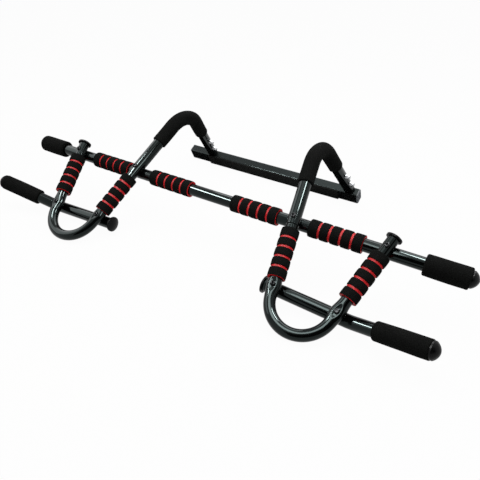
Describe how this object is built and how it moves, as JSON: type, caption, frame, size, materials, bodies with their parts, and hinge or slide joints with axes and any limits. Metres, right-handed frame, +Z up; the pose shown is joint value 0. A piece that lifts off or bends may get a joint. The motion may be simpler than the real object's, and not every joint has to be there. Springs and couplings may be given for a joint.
{
  "type": "doorway pull up bar",
  "caption": "Doorway pull up bar: a straight padded bar with looped handles, short angled front grips, and hooked arms carrying a padded rail that rests on the door trim.",
  "frame": {"origin": "on the floor, under the middle of the bounding box, with the part lying as in the picture", "axes": "+X along the main bar, towards the nearer end in the picture; +Y from the looped handles towards the rear rail; +Z up"},
  "size_m": [1.049, 0.5116, 0.2075],
  "materials": {
    "tube_steel": "gloss gunmetal, like black chrome",
    "black_foam": "matt closed-cell foam",
    "red_foam": "matt closed-cell foam",
    "cap_plastic": "semi-gloss black",
    "rail_cap_plastic": "semi-gloss dark grey",
    "fastener_steel": "bright plated"
  },
  "bodies": {
    "root": {"front_bar_bolts": "fastener_steel", "front_bar_nuts": "fastener_steel", "front_bar_washers": "fastener_steel", "hook_arm_bolts": "fastener_steel", "hook_arm_nuts": "fastener_steel", "hook_arm_washers": "fastener_steel", "left_end_grip": "black_foam", "left_front_bar": "tube_steel", "left_front_bar_inner_cap": "cap_plastic", "left_front_bar_outer_cap": "cap_plastic", "left_front_grip": "black_foam", "left_handle_cap": "cap_plastic", "left_handle_frame": "tube_steel", "left_hook_arm": "tube_steel", "left_hook_pad": "black_foam", "left_inner_bar_grip_bands": "black_foam", "left_inner_bar_grip_core": "red_foam", "left_inner_leg_grip_bands": "black_foam", "left_inner_leg_grip_core": "red_foam", "left_main_bar_cap": "cap_plastic", "left_outer_bar_grip_bands": "black_foam", "left_outer_bar_grip_core": "red_foam", "left_outer_leg_grip_bands": "black_foam", "left_outer_leg_grip_core": "red_foam", "left_rail_cap": "rail_cap_plastic", "left_rail_spigot": "tube_steel", "main_bar": "tube_steel", "outer_leg_bolts": "fastener_steel", "outer_leg_nuts": "fastener_steel", "outer_leg_washers": "fastener_steel", "rail_bolt_washers": "fastener_steel", "rail_bolts": "fastener_steel", "rail_cap_nuts": "fastener_steel", "rail_pad": "black_foam", "rear_rail": "tube_steel", "right_end_grip": "black_foam", "right_front_bar": "tube_steel", "right_front_bar_inner_cap": "cap_plastic", "right_front_bar_outer_cap": "cap_plastic", "right_front_grip": "black_foam", "right_handle_cap": "cap_plastic", "right_handle_frame": "tube_steel", "right_hook_arm": "tube_steel", "right_hook_pad": "black_foam", "right_inner_bar_grip_bands": "black_foam", "right_inner_bar_grip_core": "red_foam", "right_inner_leg_grip_bands": "black_foam", "right_inner_leg_grip_core": "red_foam", "right_main_bar_cap": "cap_plastic", "right_outer_bar_grip_bands": "black_foam", "right_outer_bar_grip_core": "red_foam", "right_outer_leg_grip_bands": "black_foam", "right_outer_leg_grip_core": "red_foam", "right_rail_cap": "rail_cap_plastic", "right_rail_spigot": "tube_steel"}
  },
  "joints": []
}
